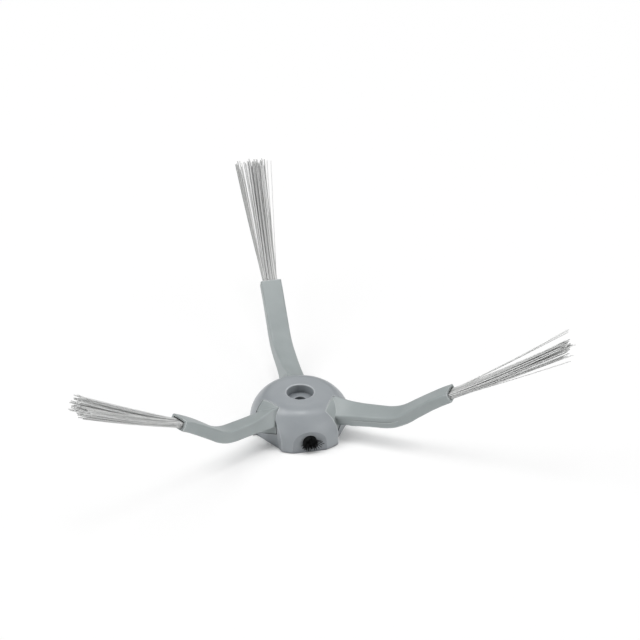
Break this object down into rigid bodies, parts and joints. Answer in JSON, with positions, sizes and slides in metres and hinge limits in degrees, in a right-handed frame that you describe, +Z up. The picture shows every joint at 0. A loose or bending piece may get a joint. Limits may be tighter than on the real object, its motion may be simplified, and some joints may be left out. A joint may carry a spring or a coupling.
{
  "type": "robot vacuum side brush",
  "caption": "Side brush for a robot vacuum: a domed screw-on hub with twisted flexible strap arms that rise to long splayed bristle tufts, and a short dark tuft in the hub's side.",
  "frame": {"origin": "on the hub's axis, in the plane of its flat base, at the centre of the drive socket's mouth", "axes": "+Z up along the hub's axis, out through the screw hole; +Y out along arm_1"},
  "size_m": [0.1398, 0.1179, 0.0425],
  "materials": {
    "hub_plastic": "fine satin, cool grey",
    "arm_rubber": "soft matt, grey",
    "grey_bristle": "satin nylon filament",
    "black_bristle": "matt nylon filament",
    "staple_wire": "plain drawn wire"
  },
  "bodies": {
    "root": {"hub": "hub_plastic", "arm_1": "arm_rubber", "arm_2": "arm_rubber", "arm_3": "arm_rubber", "long_tuft_1": "grey_bristle", "long_tuft_2": "grey_bristle", "long_tuft_3": "grey_bristle", "short_tuft": "black_bristle", "staple": "staple_wire"}
  },
  "joints": []
}
